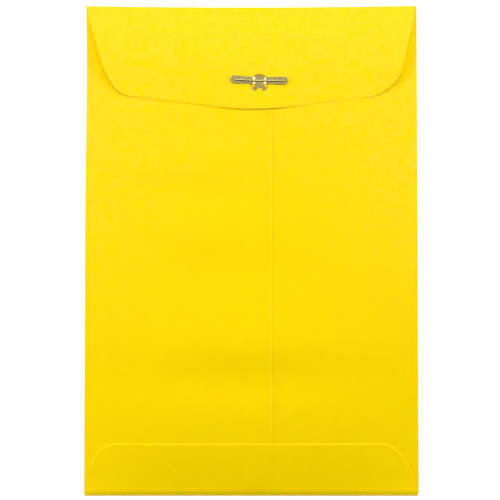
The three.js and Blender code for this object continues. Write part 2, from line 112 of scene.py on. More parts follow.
soft_light("top_softbox", (0, 0.75, 0.62), tilt=-50, lean=0, width=1.6, height=0.8, power=2.95)
soft_light("left_softbox", (-0.9, 0.1, 0.5), tilt=0, lean=-61, width=0.07, height=0.5, power=5.7)
soft_light("right_softbox", (0.9, 0.3, 0.5), tilt=0, lean=61, width=0.07, height=0.5, power=5.8)
key = soft_light("overhead_softbox", (0, 0.21, 0.72), tilt=-13, lean=0, width=0.4, height=0.4, power=3.0)
key.visible_glossy = False
# A narrow strip behind the top softbox is only seen as the bright lines in the metal.
strip = soft_light("top_strip", (0, 0.8, 0.66), tilt=-50, lean=0, width=1.6, height=0.1, power=3.5)
strip.visible_diffuse = False

# A black card stands below the foot, as the camera's side of the room is dark: it shades what faces it.
CARD_WIDTH = 1.4
CARD_HEIGHT = 1.1
CARD_Y = -0.55
CARD_RAISE = 0.05
CARD_BLACK = (0.02, 0.02, 0.02, 1)
CARD_ROUGHNESS = 0.9
bpy.ops.object.select_all(action="DESELECT")
bpy.ops.mesh.primitive_plane_add(size=1, location=(0, 0, 0))
card = bpy.context.object
card.name = "black_card"
bpy.ops.object.mode_set(mode="EDIT")
bpy.ops.mesh.select_all(action="SELECT")
bpy.ops.transform.resize(value=(CARD_WIDTH, CARD_HEIGHT, 1))
bpy.ops.transform.rotate(value=math.radians(90), orient_axis="X", center_override=(0, 0, 0))
bpy.ops.transform.translate(value=(0, CARD_Y, CARD_RAISE + CARD_HEIGHT / 2))
bpy.ops.object.mode_set(mode="OBJECT")
card.visible_camera = False
card.visible_shadow = False
card_paint = bpy.data.materials.new("black_card")
card_paint.use_nodes = True
card_shader = card_paint.node_tree.nodes["Principled BSDF"]
card_shader.inputs["Base Color"].default_value = CARD_BLACK
card_shader.inputs["Roughness"].default_value = CARD_ROUGHNESS
card.data.materials.append(card_paint)

BACKDROP = 1.0  # the white round the object, as it is seen
SKY = 0.06
world = bpy.data.worlds.new("white_room")
scene.world = world
world.use_nodes = True
sky_nodes = world.node_tree.nodes
sky_links = world.node_tree.links
sky_nodes.clear()
room = sky_nodes.new("ShaderNodeBackground")
room.inputs["Color"].default_value = (1, 1, 1, 1)
room.inputs["Strength"].default_value = SKY
seen = sky_nodes.new("ShaderNodeBackground")
seen.inputs["Color"].default_value = (1, 1, 1, 1)
seen.inputs["Strength"].default_value = BACKDROP
ray = sky_nodes.new("ShaderNodeLightPath")
choice = sky_nodes.new("ShaderNodeMixShader")
sky_out = sky_nodes.new("ShaderNodeOutputWorld")
bright_rays = ray.outputs["Is Camera Ray"]
for kind in ("Is Glossy Ray", "Is Transmission Ray"):
    either = sky_nodes.new("ShaderNodeMath")
    either.operation = "MAXIMUM"
    sky_links.new(bright_rays, either.inputs[0])
    sky_links.new(ray.outputs[kind], either.inputs[1])
    bright_rays = either.outputs[0]
sky_links.new(bright_rays, choice.inputs["Fac"])
sky_links.new(room.outputs[0], choice.inputs[1])
sky_links.new(seen.outputs[0], choice.inputs[2])
sky_links.new(choice.outputs[0], sky_out.inputs["Surface"])

FLOOR_SIZE = 4
FLOOR_DROP = 0.02 * MM
FLOOR_PALE = (0.6, 0.6, 0.6, 1)
FLOOR_GLOW = 0.62  # added where it is seen, so that it is white round the object's shadow
bpy.ops.object.select_all(action="DESELECT")
bpy.ops.mesh.primitive_plane_add(size=FLOOR_SIZE, location=(0, 0, -FLOOR_DROP))
floor = bpy.context.object
floor.name = "white_floor"
floor_paint = bpy.data.materials.new("white_floor")
floor_paint.use_nodes = True
floor_nodes = floor_paint.node_tree.nodes
floor_links = floor_paint.node_tree.links
floor_nodes.clear()
floor_matte = floor_nodes.new("ShaderNodeBsdfDiffuse")
floor_matte.inputs["Color"].default_value = FLOOR_PALE
floor_glow = floor_nodes.new("ShaderNodeEmission")
floor_glow.inputs["Strength"].default_value = FLOOR_GLOW
floor_ray = floor_nodes.new("ShaderNodeLightPath")
floor_seen = floor_nodes.new("ShaderNodeMath")
floor_seen.operation = "MAXIMUM"
floor_both = floor_nodes.new("ShaderNodeAddShader")
floor_pick = floor_nodes.new("ShaderNodeMixShader")
floor_out = floor_nodes.new("ShaderNodeOutputMaterial")
floor_links.new(floor_ray.outputs["Is Camera Ray"], floor_seen.inputs[0])
floor_links.new(floor_ray.outputs["Is Glossy Ray"], floor_seen.inputs[1])
floor_links.new(floor_seen.outputs[0], floor_pick.inputs["Fac"])
floor_links.new(floor_matte.outputs[0], floor_both.inputs[0])
floor_links.new(floor_glow.outputs[0], floor_both.inputs[1])
floor_links.new(floor_matte.outputs[0], floor_pick.inputs[1])
floor_links.new(floor_both.outputs[0], floor_pick.inputs[2])
floor_links.new(floor_pick.outputs[0], floor_out.inputs["Surface"])
floor.data.materials.append(floor_paint)


# The front panel, the face that the envelope lies on: the middle of one die-cut paper blank, folded
# up round three scored creases. Its outer face is down, and its top edge is the flap's fold.
FRONT_LOW, FRONT_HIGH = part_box("front_panel")
PAPER = FRONT_HIGH[2] - FRONT_LOW[2]
CREASE_X = FRONT_HIGH[0]
TOP_Y = FRONT_HIGH[1]
FOOT_Y = FRONT_LOW[1]
GRAIN_STEP = 2.2 * MM  # the grids' cells
TOP_BOW = 0.75 * MM  # the top edge draws in this much at its middle
TOP_BOW_REACH = 26 * MM
TOP_SLANT = 0.13 * MM  # and its left end lies this much lower than its right one
SIDE_DRAW = 0.45 * MM  # the left crease draws in this much a third of the way down this length
SIDE_DRAW_LENGTH = 105 * MM
SIDE_DRAW_REACH = 8 * MM
CORNER_DEPTH = 5 * MM  # the top corners are as wide as the fold above them down to here
FOLD_RADIUS = 0.3 * MM  # the outer radius of the flap's fold
WELD = 0.002 * MM  # points nearer than this are one
PAPER_YELLOW = (0.945, 0.64, 0.0)
PAPER_PALE = (0.97, 0.75, 0.05)
# painted light: the paler, bluer yellow that stands for the brightest-lit paper
PAPER_PAINTED_PALE = (0.945, 0.64, 0.021)
# painted highlight: the pale yellow of cut edges that catch the light
PAPER_PAINTED_HIGHLIGHT = (0.99, 0.73, 0.03)
# painted shadow: the dark orange of the shade under a hole's cut rim
HOLE_SHADOW_COLOR = (0.36, 0.19, 0.01)
PAPER_GLOSS = 0.03
PAPER_ROUGHNESS = 0.62  # its clouds of gloss go from the first to the second below and above this
GLOSS_BELOW = 0.06
GLOSS_ABOVE = 0.08
PAPER_MOTTLE = 0.014  # how much lighter and darker its clouds are
# The scales of the paper's patterns: the greater the number, the finer the pattern.
CLOUDS = 190
MACHINE_LINES = 700
SPECKS = 2600
PAINTED_PALE_PATCHES = 300
PAINTED_PALE_THREADS = 900
GLOSS_CLOUDS = 260
TOOTH = 2200
PATTERN_ROUGHNESS = 0.6
LINE_LENGTH = 0.05  # patterns are drawn out into lines by this stretch
THREAD_LENGTH = 0.15
# Painted light: where and how much the paper is painted paler and bluer, most towards the top and the
# sides, where the light falls brightest.
PAINTED_PALE_FOOT_Y = -10 * MM
PAINTED_PALE_TOP = 0.75
PAINTED_PALE_SIDES = 0.7
PAINTED_PALE_MIDDLE = 0.1
PATCH_PALENESS = (0.15, 1.7)
THREAD_PALENESS = (0.55, 1.45)
PALENESS_RANGE = (0.4, 0.6)  # the middle of their patterns, spread out to those shares
# Painted shadow round a hole that metal goes through, a dark ring for the shade under its rim: full up
# to the first width, gone at the second.
HOLE_SHADOW_SHARE = 0.8
HOLE_SHADOW_WIDTHS = (0.08 * MM, 0.36 * MM)
HOLE_SHADOW_DOWN_TO = (-0.92, -0.7)  # in radii from the hole's middle
# The light that goes into the paper and comes out again.
PAPER_DEPTH = 0.5 * MM
PAPER_DEPTH_SHARE = 0.15
PAPER_DEPTH_COLOR = (1, 0.42, 0.05)
TOOTH_STRETCH = (1, 0.6, 1)
TOOTH_STRENGTH = 0.16
TOOTH_HEIGHT = 0.12 * MM


class Finish:
    """A material in the making, with the kinds of node that its patterns are put together from."""

    def __init__(self, name):
        self.material = bpy.data.materials.new(name)
        self.material.use_nodes = True
        self.nodes = self.material.node_tree.nodes
        self.links = self.material.node_tree.links
        self.shader = self.nodes["Principled BSDF"]
        self.place = self.nodes.new("ShaderNodeTexCoord").outputs["Object"]

    def feed(self, node, values):
        """Gives each socket of the node its plain number or colour, or links it to another's output."""
        for name, value in values.items():
            if isinstance(value, bpy.types.NodeSocket):
                self.links.new(value, node.inputs[name])
            else:
                node.inputs[name].default_value = value

    def noise(self, scale, detail, stretch=(1, 1, 1), rough=0.5):
        lay = self.nodes.new("ShaderNodeMapping")
        self.feed(lay, {"Vector": self.place, "Scale": stretch})
        made = self.nodes.new("ShaderNodeTexNoise")
        self.feed(made, {"Vector": lay.outputs[0], "Scale": scale, "Detail": detail, "Roughness": rough})
        return made.outputs["Fac"]

    def spread(self, value, low_out, high_out, low=0.3, high=0.7):
        """Spreads what lies from low to high, as most noise does, out to low_out and high_out."""
        made = self.nodes.new("ShaderNodeMapRange")
        ends = {"From Min": low, "From Max": high, "To Min": low_out, "To Max": high_out}
        self.feed(made, {"Value": value, **ends})
        return made.outputs[0]

    def combine(self, operation, first, second, clamp=False):
        made = self.nodes.new("ShaderNodeMath")
        made.operation = operation
        made.use_clamp = clamp
        self.feed(made, {0: first, 1: second})
        return made.outputs[0]

    def times(self, first, second):
        return self.combine("MULTIPLY", first, second)

    def axes(self, vector):
        made = self.nodes.new("ShaderNodeSeparateXYZ")
        self.feed(made, {"Vector": vector})
        return made.outputs

    def mark(self, name):
        """The share that a mark on the piece's points gives."""
        made = self.nodes.new("ShaderNodeAttribute")
        made.attribute_name = name
        return made.outputs["Fac"]

    def mix(self, share, first, second):
        made = self.nodes.new("ShaderNodeMixRGB")
        self.feed(made, {"Fac": share, "Color1": first, "Color2": second})
        return made.outputs[0]

    def ramp(self, value, low, low_color, high, high_color):
        made = self.nodes.new("ShaderNodeValToRGB")
        for stop, position, color in zip(made.color_ramp.elements, (low, high), (low_color, high_color)):
            stop.position = position
            stop.color = (*color, 1)
        self.feed(made, {"Fac": value})
        return made.outputs[0]

    def bump(self, height, strength, depth):
        made = self.nodes.new("ShaderNodeBump")
        self.feed(made, {"Height": height, "Strength": strength, "Distance": depth})
        return made.outputs[0]


def shadow_round_hole(made, surface, hole):
    """The surface's colour with a painted shadow round the hole, a dark ring down to between the clasp's
    lower feet.
    """
    x, y, radius = hole
    centred = made.nodes.new("ShaderNodeMapping")
    made.feed(centred, {"Vector": made.place, "Location": (-x, -y, 0), "Scale": (1, 1, 0)})
    away = made.nodes.new("ShaderNodeVectorMath")
    away.operation = "LENGTH"
    made.feed(away, {0: centred.outputs[0]})
    full, gone = (radius + width for width in HOLE_SHADOW_WIDTHS)
    ring = made.spread(away.outputs["Value"], HOLE_SHADOW_SHARE, 0, full, gone)
    low, high = (radius * share for share in HOLE_SHADOW_DOWN_TO)
    above_feet = made.spread(made.axes(centred.outputs[0])["Y"], 0, 1, low, high)
    return made.mix(made.times(ring, above_feet), surface, (*HOLE_SHADOW_COLOR, 1))


def paper_finish(name, color, gloss=PAPER_GLOSS, rough=PAPER_ROUGHNESS, hole=None):
    """Smooth dyed paper: cloudy, with faint machine lines both ways and a fine tooth, and painted paler
    towards the top and sides as painted light.

    A hole, given as its x, y and radius, gets a painted shadow round its edge, a dark ring for the shade
    under its rim.
    """
    made = Finish(name)

    def pattern(scale, detail, stretch=(1, 1, 1)):
        return made.noise(scale, detail, stretch, rough=PATTERN_ROUGHNESS)

    def tone_of(value, strength):
        return made.spread(value, 1 - strength, 1 + strength)

    cloud = tone_of(pattern(CLOUDS, detail=4), PAPER_MOTTLE)
    speck = tone_of(pattern(SPECKS, detail=2), PAPER_MOTTLE / 2)
    down = tone_of(pattern(MACHINE_LINES, 2, (1, LINE_LENGTH, 1)), PAPER_MOTTLE / 3)
    across = tone_of(pattern(MACHINE_LINES, 2, (LINE_LENGTH, 1, 1)), PAPER_MOTTLE / 3)
    tone = made.times(made.times(cloud, speck), made.times(down, across))

    x, y = made.axes(made.place)[0:2]
    # painted light: the yellow is painted paler and bluer towards the top and the sides, where the light
    # falls brightest
    toward_top = made.spread(y, 0, 1, PAINTED_PALE_FOOT_Y, TOP_Y)
    top = made.times(made.times(toward_top, toward_top), PAINTED_PALE_TOP)
    toward_side = made.spread(made.times(x, x), PAINTED_PALE_MIDDLE, 1, 0, CREASE_X ** 2)
    sides = made.times(toward_side, made.spread(y, 0, PAINTED_PALE_SIDES, FOOT_Y / 2, TOP_Y / 2))
    # The painted paleness is blotchy, with faint threads of it along the machine's lines both ways.
    patches = made.spread(pattern(PAINTED_PALE_PATCHES, detail=4), *PATCH_PALENESS, *PALENESS_RANGE)
    for stretch in ((1, THREAD_LENGTH, 1), (THREAD_LENGTH, 1, 1)):
        threads = made.spread(pattern(PAINTED_PALE_THREADS, 2, stretch), *THREAD_PALENESS, *PALENESS_RANGE)
        patches = made.times(patches, threads)
    painted_pale = made.combine("MULTIPLY", made.combine("ADD", top, sides), patches, clamp=True)
    # painted shadow: where it is marked, the painted paleness is left out, for the deeper yellow of
    # shade
    outside_painted_shadow = made.combine("SUBTRACT", 1, made.mark("painted_shadow"))
    surface = made.mix(made.times(painted_pale, outside_painted_shadow), (*color, 1), (*PAPER_PAINTED_PALE, 1))
    # painted highlight: cut edges marked with it are painted paler, where they catch the light
    surface = made.mix(made.mark("painted_highlight"), surface, (*PAPER_PAINTED_HIGHLIGHT, 1))
    if hole:
        # painted shadow round the clasp's hole
        surface = shadow_round_hole(made, surface, hole)

    tint = made.nodes.new("ShaderNodeHueSaturation")
    made.feed(tint, {"Color": surface, "Value": tone})
    gloss_clouds = pattern(GLOSS_CLOUDS, detail=3)
    tooth = pattern(TOOTH, 5, TOOTH_STRETCH)
    look = {
        "Base Color": tint.outputs[0],
        "Roughness": made.spread(gloss_clouds, rough - GLOSS_BELOW, rough + GLOSS_ABOVE),
        "Specular IOR Level": gloss,
        "Subsurface Weight": PAPER_DEPTH_SHARE,
        "Subsurface Radius": PAPER_DEPTH_COLOR,
        "Subsurface Scale": PAPER_DEPTH,
        "Normal": made.bump(tooth, TOOTH_STRENGTH, TOOTH_HEIGHT),
    }
    made.feed(made.shader, look)
    return made.material


paper = paper_finish("yellow_paper", PAPER_YELLOW)
cut_edge = paper_finish("cut_edge", PAPER_PALE, gloss=0.1, rough=0.9)


def select_only(piece):
    bpy.ops.object.select_all(action="DESELECT")
    piece.select_set(True)
    bpy.context.view_layer.objects.active = piece


def flat_sheet(name, low_x, high_x, low_y, high_y, height, step=GRAIN_STEP):
    """A flat square grid of paper, one face thick, shaped in edit mode to its size."""
    bpy.ops.object.select_all(action="DESELECT")
    bpy.ops.mesh.primitive_grid_add(
        x_subdivisions=max(2, round((high_x - low_x) / step)),
        y_subdivisions=max(2, round((high_y - low_y) / step)),
        size=1,
    )
    piece = bpy.context.object
    piece.name = name
    bpy.ops.object.mode_set(mode="EDIT")
    bpy.ops.mesh.select_all(action="SELECT")
    bpy.ops.transform.resize(value=(high_x - low_x, high_y - low_y, 1))
    middle = ((low_x + high_x) / 2, (low_y + high_y) / 2, height)
    bpy.ops.transform.translate(value=middle)
    bpy.ops.object.mode_set(mode="OBJECT")
    return piece


def apply_all(piece):
    select_only(piece)
    for modifier in list(piece.modifiers):
        bpy.ops.object.modifier_apply(modifier=modifier.name)


def thicken(piece, thickness=PAPER):
    """Gives the sheet its thickness, half to each side, with its cut edges in the paler finish."""
    wall = piece.modifiers.new("thickness", "SOLIDIFY")
    wall.thickness = thickness
    wall.offset = 0
    wall.material_offset_rim = 1
    wall.use_even_offset = True
    apply_all(piece)


def recalculate(piece):
    """Welds what meets and turns every face outward."""
    select_only(piece)
    bpy.ops.object.mode_set(mode="EDIT")
    bpy.ops.mesh.select_all(action="SELECT")
    bpy.ops.mesh.remove_doubles(threshold=WELD)
    bpy.ops.mesh.normals_make_consistent(inside=False)
    bpy.ops.object.mode_set(mode="OBJECT")


def shade(piece, degrees=30):
    select_only(piece)
    bpy.ops.object.shade_smooth_by_angle(angle=math.radians(degrees))


def declare_paper(piece, body, node):
    """Says what the sheet rides on and which node it stands for."""
    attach(piece, body)
    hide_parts(node)


def mark_paper(piece, name, share):
    """Marks every point with share(x, y): a painted highlight at a pale cut edge, or a painted shadow
    where the painted paleness is left out.
    """
    marks = piece.data.attributes.new(name, "FLOAT", "POINT")
    for mark, corner in zip(marks.data, piece.data.vertices):
        mark.value = share(corner.co.x, corner.co.y)


def bow_top(piece):
    """Draws the top edge in a little, as the pocket's swell and the folder left it."""
    for corner in piece.data.vertices:
        near = max(0, 1 - (TOP_Y - corner.co.y) / TOP_BOW_REACH)
        across = corner.co.x / CREASE_X
        corner.co.y -= near ** 2 * (TOP_BOW * max(0, 1 - across ** 2) + TOP_SLANT * (1 - across) / 2)


def draw_side(piece):
    """Draws the left crease in a little below its top corner, where the folder set it askew."""
    for corner in piece.data.vertices:
        down = min(1, (TOP_Y - corner.co.y) / SIDE_DRAW_LENGTH)
        near = max(0, 1 - (corner.co.x - ENVELOPE_LOW[0]) / SIDE_DRAW_REACH)
        share = 27 / 4 * down * (1 - down) ** 2  # 1 at its most, a third of the way down
        corner.co.x += SIDE_DRAW * share * near ** 2


front = flat_sheet("front_panel_paper", -CREASE_X, CREASE_X, FOOT_Y, TOP_Y - FOLD_RADIUS, PAPER / 2)
front.data.materials.append(paper)
front.data.materials.append(cut_edge)
for corner in front.data.vertices:
    if corner.co.y > TOP_Y - CORNER_DEPTH:
        corner.co.x *= ENVELOPE_HIGH[0] / CREASE_X
bow_top(front)
draw_side(front)
thicken(front)
recalculate(front)
shade(front)
declare_paper(front, "envelope", "front_panel")


# The swell of the pocket: the empty envelope springs open, so its back is crowned, and its slack
# paper waves a little. Every sheet of the back is lifted by the same height, layer on layer.
LEFT_LOW, LEFT_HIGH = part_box("left_side_panel")
RIGHT_LOW, RIGHT_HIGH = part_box("right_side_panel")
CREASE_OPEN = 0.3 * MM  # free height inside at the side creases
CREASE_ROOF = PAPER + CREASE_OPEN
SWELL = RIGHT_HIGH[2] - PAPER - CREASE_ROOF
FLAT_HALF_WIDTH = 24 * MM
FLAT_FOOT_Y = ENVELOPE_LOW[1] + 46 * MM
MOUTH_FALL = 0.2  # share of the swell that is lost towards the mouth
MOUTH_FALL_START = TOP_Y - 30 * MM
MOUTH_FALL_LENGTH = 17 * MM
FOOT_PRESS = 0.3 * MM  # the foot's crease is pressed flatter than the rest
FOOT_PRESS_WIDTH = 2.2 * MM
SLACK_MARGIN = 12 * MM  # no slack is left at the creases, and it comes up over this width
# Each slack place of the back, in millimetres: x, y, half width, half height and depth.
SLACK = (
    (-28, 28, 32, 9, -0.6),
    (-24, 43, 32, 9, 0.4),
    (-16, -12, 36, 12, -0.8),
    (-12, 8, 34, 9, 0.3),
    (-5, -64, 48, 11, -0.8),
    (0, -47, 55, 12, 1.0),
    (48, -10, 12, 46, 0.16),
    (-62, -20, 9, 60, 0.14),
    (40, 40, 22, 10, -0.14),
)


def eased(value):
    value = min(1, max(0, value))
    return value * value * (3 - 2 * value)


def across_slope(x):
    return min(1, max(0, (abs(x) - FLAT_HALF_WIDTH) / (CREASE_X - FLAT_HALF_WIDTH)))


def swell_height(x, y):
    down = min(1, max(0, (FLAT_FOOT_Y - y) / (FLAT_FOOT_Y - FOOT_Y)))
    height = SWELL * (1 - across_slope(x) ** 2) * (1 - down ** 2)
    height *= 1 - MOUTH_FALL * eased((y - MOUTH_FALL_START) / MOUTH_FALL_LENGTH)
    held = eased((CREASE_X - abs(x)) / SLACK_MARGIN) * eased((y - FOOT_Y) / SLACK_MARGIN)
    for at_x, at_y, half_x, half_y, depth in SLACK:
        away = ((x / MM - at_x) / half_x) ** 2 + ((y / MM - at_y) / half_y) ** 2
        height += held * depth * MM * math.exp(-away)
    at_crease = max(0, 1 - max(0, y - FOOT_Y) / FOOT_PRESS_WIDTH)
    return height - FOOT_PRESS * at_crease ** 2


def reshape(piece, move):
    """Moves every point of the piece to where move(x, y, z) says."""
    for corner in piece.data.vertices:
        corner.co = move(*corner.co)


def crown(piece):
    reshape(piece, lambda x, y, z: (x, y, z + swell_height(x, y) * min(1, z / CREASE_ROOF)))


# The two side panels: folded over the front round soft creases, with the left one lapped over the
# right and gummed to it. Their top edges, which dip to the middle, are the envelope's mouth.
SEAM_EDGE = LEFT_HIGH[0]
SEAM_HIDDEN_EDGE = RIGHT_LOW[0]
SIDE_FOOT = LEFT_LOW[1]
LAYER = LEFT_HIGH[2] - RIGHT_HIGH[2]
CREASE_STEPS = 10
STEP_WIDTH = 1.6 * MM  # the left panel climbs onto the right one's edge over this width
MOUTH_FLAT = 38 * MM
MOUTH_DIP = 10.5 * MM
MOUTH_Y = TOP_Y - 15 * MM
SEAM_CURL = 0.1 * MM  # the seam's cut edge curls up by this much
SEAM_CURL_WIDTH = 0.9 * MM
SEAM_HIGHLIGHT_WIDTH = 0.405 * MM
EDGE_HIGHLIGHT = 0.45  # how strongly the cut edges are painted pale, a painted highlight where they catch the light
NEARLY = 0.01 * MM  # places nearer to each other than this count as one
CUT_NEARLY = 0.0001 * MM  # and points this near to a cut lie on it


def mouth_y(x):
    out = max(0, (abs(x) - MOUTH_FLAT) / (CREASE_X - MOUTH_FLAT))
    return MOUTH_Y + MOUTH_DIP * min(1, out) ** 2


def select_border(piece, where):
    """Selects the points of the piece for which where(x, y, z) is true, and stays in edit mode."""
    select_only(piece)
    bpy.ops.object.mode_set(mode="EDIT")
    bpy.ops.mesh.select_mode(type="VERT")
    bpy.ops.mesh.select_all(action="DESELECT")
    bpy.ops.object.mode_set(mode="OBJECT")
    for corner in piece.data.vertices:
        corner.select = where(*corner.co)
    bpy.ops.object.mode_set(mode="EDIT")


def roll_crease(piece, where, angle, center, axis):
    """Rolls the sheet's border, the points for which where(x, y, z) is true, round a crease."""
    select_border(piece, where)
    bpy.ops.mesh.spin(steps=CREASE_STEPS, angle=angle, center=center, axis=axis)
    bpy.ops.object.mode_set(mode="OBJECT")


def side_panel(name, side, edge_x):
    height = CREASE_ROOF + PAPER / 2
    low_x, high_x = sorted((side * CREASE_X, edge_x))
    piece = flat_sheet(name, low_x, high_x, SIDE_FOOT, MOUTH_Y + MOUTH_DIP, height)
    # The mouth's edge is cut to its curve: the rows are drawn up under it.
    for corner in piece.data.vertices:
        share = (corner.co.y - SIDE_FOOT) / (MOUTH_Y + MOUTH_DIP - SIDE_FOOT)
        corner.co.y = SIDE_FOOT + share * (mouth_y(corner.co.x) - SIDE_FOOT)
    middle = (side * CREASE_X, 0, PAPER / 2 + (height - PAPER / 2) / 2)

    def on_crease(x, y, z):
        return abs(x - side * CREASE_X) < NEARLY

    roll_crease(piece, on_crease, -side * math.pi, middle, (0, 1, 0))
    piece.data.materials.append(paper)
    piece.data.materials.append(cut_edge)
    return piece


def rule_lines(piece, places, across=(1, 0, 0)):
    """Adds a line of points to the sheet at each of the places, measured in the direction across."""
    select_only(piece)
    bpy.ops.object.mode_set(mode="EDIT")
    for place in places:
        point = [place * part for part in across]
        bpy.ops.mesh.select_all(action="SELECT")
        bpy.ops.mesh.bisect(plane_co=point, plane_no=across, threshold=CUT_NEARLY)
    bpy.ops.object.mode_set(mode="OBJECT")


left_panel = side_panel("left_side_panel_paper", -1, SEAM_EDGE)
rule_lines(left_panel, [SEAM_EDGE - SEAM_CURL_WIDTH * part / 5 for part in range(1, 6)])
rule_lines(left_panel, [SEAM_HIDDEN_EDGE - STEP_WIDTH * part / 4 for part in range(5)])
for corner in left_panel.data.vertices:
    climb = (corner.co.x - (SEAM_HIDDEN_EDGE - STEP_WIDTH)) / STEP_WIDTH
    curl = max(0, 1 - (SEAM_EDGE - corner.co.x) / SEAM_CURL_WIDTH)
    if corner.co.x > -CREASE_X + MM:
        corner.co.z += LAYER * eased(climb) + SEAM_CURL * curl ** 2
right_panel = side_panel("right_side_panel_paper", 1, SEAM_HIDDEN_EDGE)
for panel, node in ((left_panel, "left_side_panel"), (right_panel, "right_side_panel")):
    recalculate(panel)
    thicken(panel)
    crown(panel)
    draw_side(panel)
    recalculate(panel)
    shade(panel)
    declare_paper(panel, "envelope", node)
# painted highlight along the seam's cut edge
mark_paper(left_panel, "painted_highlight", lambda x, y: EDGE_HIGHLIGHT * (x > SEAM_EDGE - SEAM_HIGHLIGHT_WIDTH))


# The foot flap: the blank's lowest panel, folded up round the foot crease and gummed over both side
# panels. Its corners are cut round, and its free edge stands a hair off the panels.
FOOT_LOW, FOOT_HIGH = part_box("foot_flap")
FOOT_FLAP_TOP = FOOT_HIGH[1]
FOOT_SETTLE = 6 * MM
FOOT_EDGE_WIDTH = 0.35 * MM  # the gummed flap slopes down to its cut edge over this width
FOOT_EDGE_STEP = 0.2 * MM
FOOT_EDGE_RUN = 2.2 * MM  # the step dies out this near to the crease
FOOT_STEP = 0.5 * MM
FOOT_HIGHLIGHT_WIDTH = 0.1 * MM
CORNER_STEPS = 18
# The round corners, in millimetres: how far in from the side and how far up from the crease each
# control point of their curves is.
LEFT_CORNER = ((0.1, 2.5), (1.3, 16.5), (5.8, 25.6), (16.3, 25.6))
RIGHT_CORNER = ((0.3, 1.5), (2.6, 14), (8, 25.6), (18.5, 25.6))


def curve_points(ends, steps):
    """Points on a curve through its first and last point, drawn by those between."""
    made = []
    for i in range(steps + 1):
        left = [tuple(point) for point in ends]
        while len(left) > 1:
            pairs = zip(left, left[1:])
            left = [tuple(a + (b - a) * i / steps for a, b in zip(one, two)) for one, two in pairs]
        made.append(left[0])
    return made


def foot_outline():
    right = [(FOOT_HIGH[0] - inset * MM, FOOT_LOW[1] + up * MM) for inset, up in RIGHT_CORNER]
    left = [(FOOT_LOW[0] + inset * MM, FOOT_LOW[1] + up * MM) for inset, up in LEFT_CORNER]
    return curve_points(right, CORNER_STEPS) + curve_points(left, CORNER_STEPS)[::-1]


def edge_distance(x, y, outline):
    """How far the place is from the cut line through the outline's points."""
    nearest = math.inf
    for (ax, ay), (bx, by) in zip(outline, outline[1:]):
        along = (x - ax) * (bx - ax) + (y - ay) * (by - ay)
        share = min(1, max(0, along / ((bx - ax) ** 2 + (by - ay) ** 2)))
        nearest = min(nearest, math.hypot(x - ax - share * (bx - ax), y - ay - share * (by - ay)))
    return nearest


def die_cut(piece, outline):
    """Cuts the flat sheet to a convex outline, one straight stroke of the die after another."""
    select_only(piece)
    bpy.ops.object.mode_set(mode="EDIT")
    for (ax, ay), (bx, by) in zip(outline, outline[1:]):
        length = math.hypot(bx - ax, by - ay)
        if length < NEARLY:
            continue
        point = (ax, ay, 0)
        outward = ((by - ay) / length, (ax - bx) / length, 0)
        bpy.ops.mesh.select_all(action="SELECT")
        bpy.ops.mesh.bisect(plane_co=point, plane_no=outward, clear_outer=True, threshold=CUT_NEARLY)
    bpy.ops.object.mode_set(mode="OBJECT")


foot_height = CREASE_ROOF + LAYER + PAPER / 2
foot_panel = flat_sheet(
    "foot_flap_paper", -CREASE_X, CREASE_X, FOOT_Y, FOOT_FLAP_TOP, foot_height, FOOT_STEP
)
foot_line = foot_outline()
die_cut(foot_panel, foot_line)


def foot_settles(x, y, z):
    over_seam = eased((x - SEAM_HIDDEN_EDGE) / STEP_WIDTH + 1) - eased((x - SEAM_EDGE) / STEP_WIDTH)
    at_crease = 1 - eased((y - FOOT_Y) / FOOT_SETTLE)
    inside = eased(edge_distance(x, y, foot_line) / FOOT_EDGE_WIDTH)
    inside *= eased((y - FOOT_Y) / FOOT_EDGE_RUN)
    return x, y, z + LAYER * max(over_seam, at_crease) + FOOT_EDGE_STEP * inside


reshape(foot_panel, foot_settles)
foot_top = CREASE_ROOF + 2 * LAYER + PAPER / 2
foot_middle = (0, FOOT_Y, (foot_top + PAPER / 2) / 2)
roll_crease(foot_panel, lambda x, y, z: y < FOOT_Y + NEARLY, -math.pi, foot_middle, (1, 0, 0))
foot_panel.data.materials.append(paper)
foot_panel.data.materials.append(cut_edge)
recalculate(foot_panel)
thicken(foot_panel)
crown(foot_panel)
recalculate(foot_panel)
shade(foot_panel)
# painted highlight along the foot flap's cut edge
mark_paper(
    foot_panel, "painted_highlight", lambda x, y: EDGE_HIGHLIGHT * (edge_distance(x, y, foot_line) < FOOT_HIGHLIGHT_WIDTH)
)
declare_paper(foot_panel, "envelope", "foot_flap")


# The gum lines inside: dried gum under the foot flap and in the centre seam, thin clear strips that
# are rolled on before the panels are folded over.
GUM_FILM = 0.04 * MM
SEAM_GUM_LOW, SEAM_GUM_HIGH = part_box("seam_gum")
FOOT_GUM_LOW, FOOT_GUM_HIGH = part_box("foot_flap_gum")
GUM_HEIGHT = CREASE_ROOF + (PAPER + LAYER) / 2  # the middle of the gap between two sheets
GUM_STEP = 1.6 * MM
GUM_AMBER = (0.80, 0.58, 0.05)
GUM_PALE = (0.90, 0.68, 0.09)
GUM_ROUGHNESS = (0.16, 0.4)
GUM_STREAKS = 120  # the scale of its streaks, and how much finer they are along Y
GUM_STREAK_STRETCH = (1, 6, 1)
GUM_RIPPLE = 0.25
GUM_RIPPLE_HEIGHT = 0.2 * MM


def gum_finish():
    """Dried gum: a thin glossy film, a little uneven where the roller left it."""
    made = Finish("dried_gum")
    streaks = made.noise(GUM_STREAKS, detail=4, stretch=GUM_STREAK_STRETCH)
    look = {
        "Base Color": made.ramp(streaks, low=0.3, low_color=GUM_AMBER, high=0.7, high_color=GUM_PALE),
        "Roughness": made.spread(streaks, *GUM_ROUGHNESS, 0, 1),
        "Normal": made.bump(streaks, GUM_RIPPLE, GUM_RIPPLE_HEIGHT),
    }
    made.feed(made.shader, look)
    return made.material


gum = gum_finish()


def declare_gum(piece, body, node):
    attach(piece, body)
    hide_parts(node)


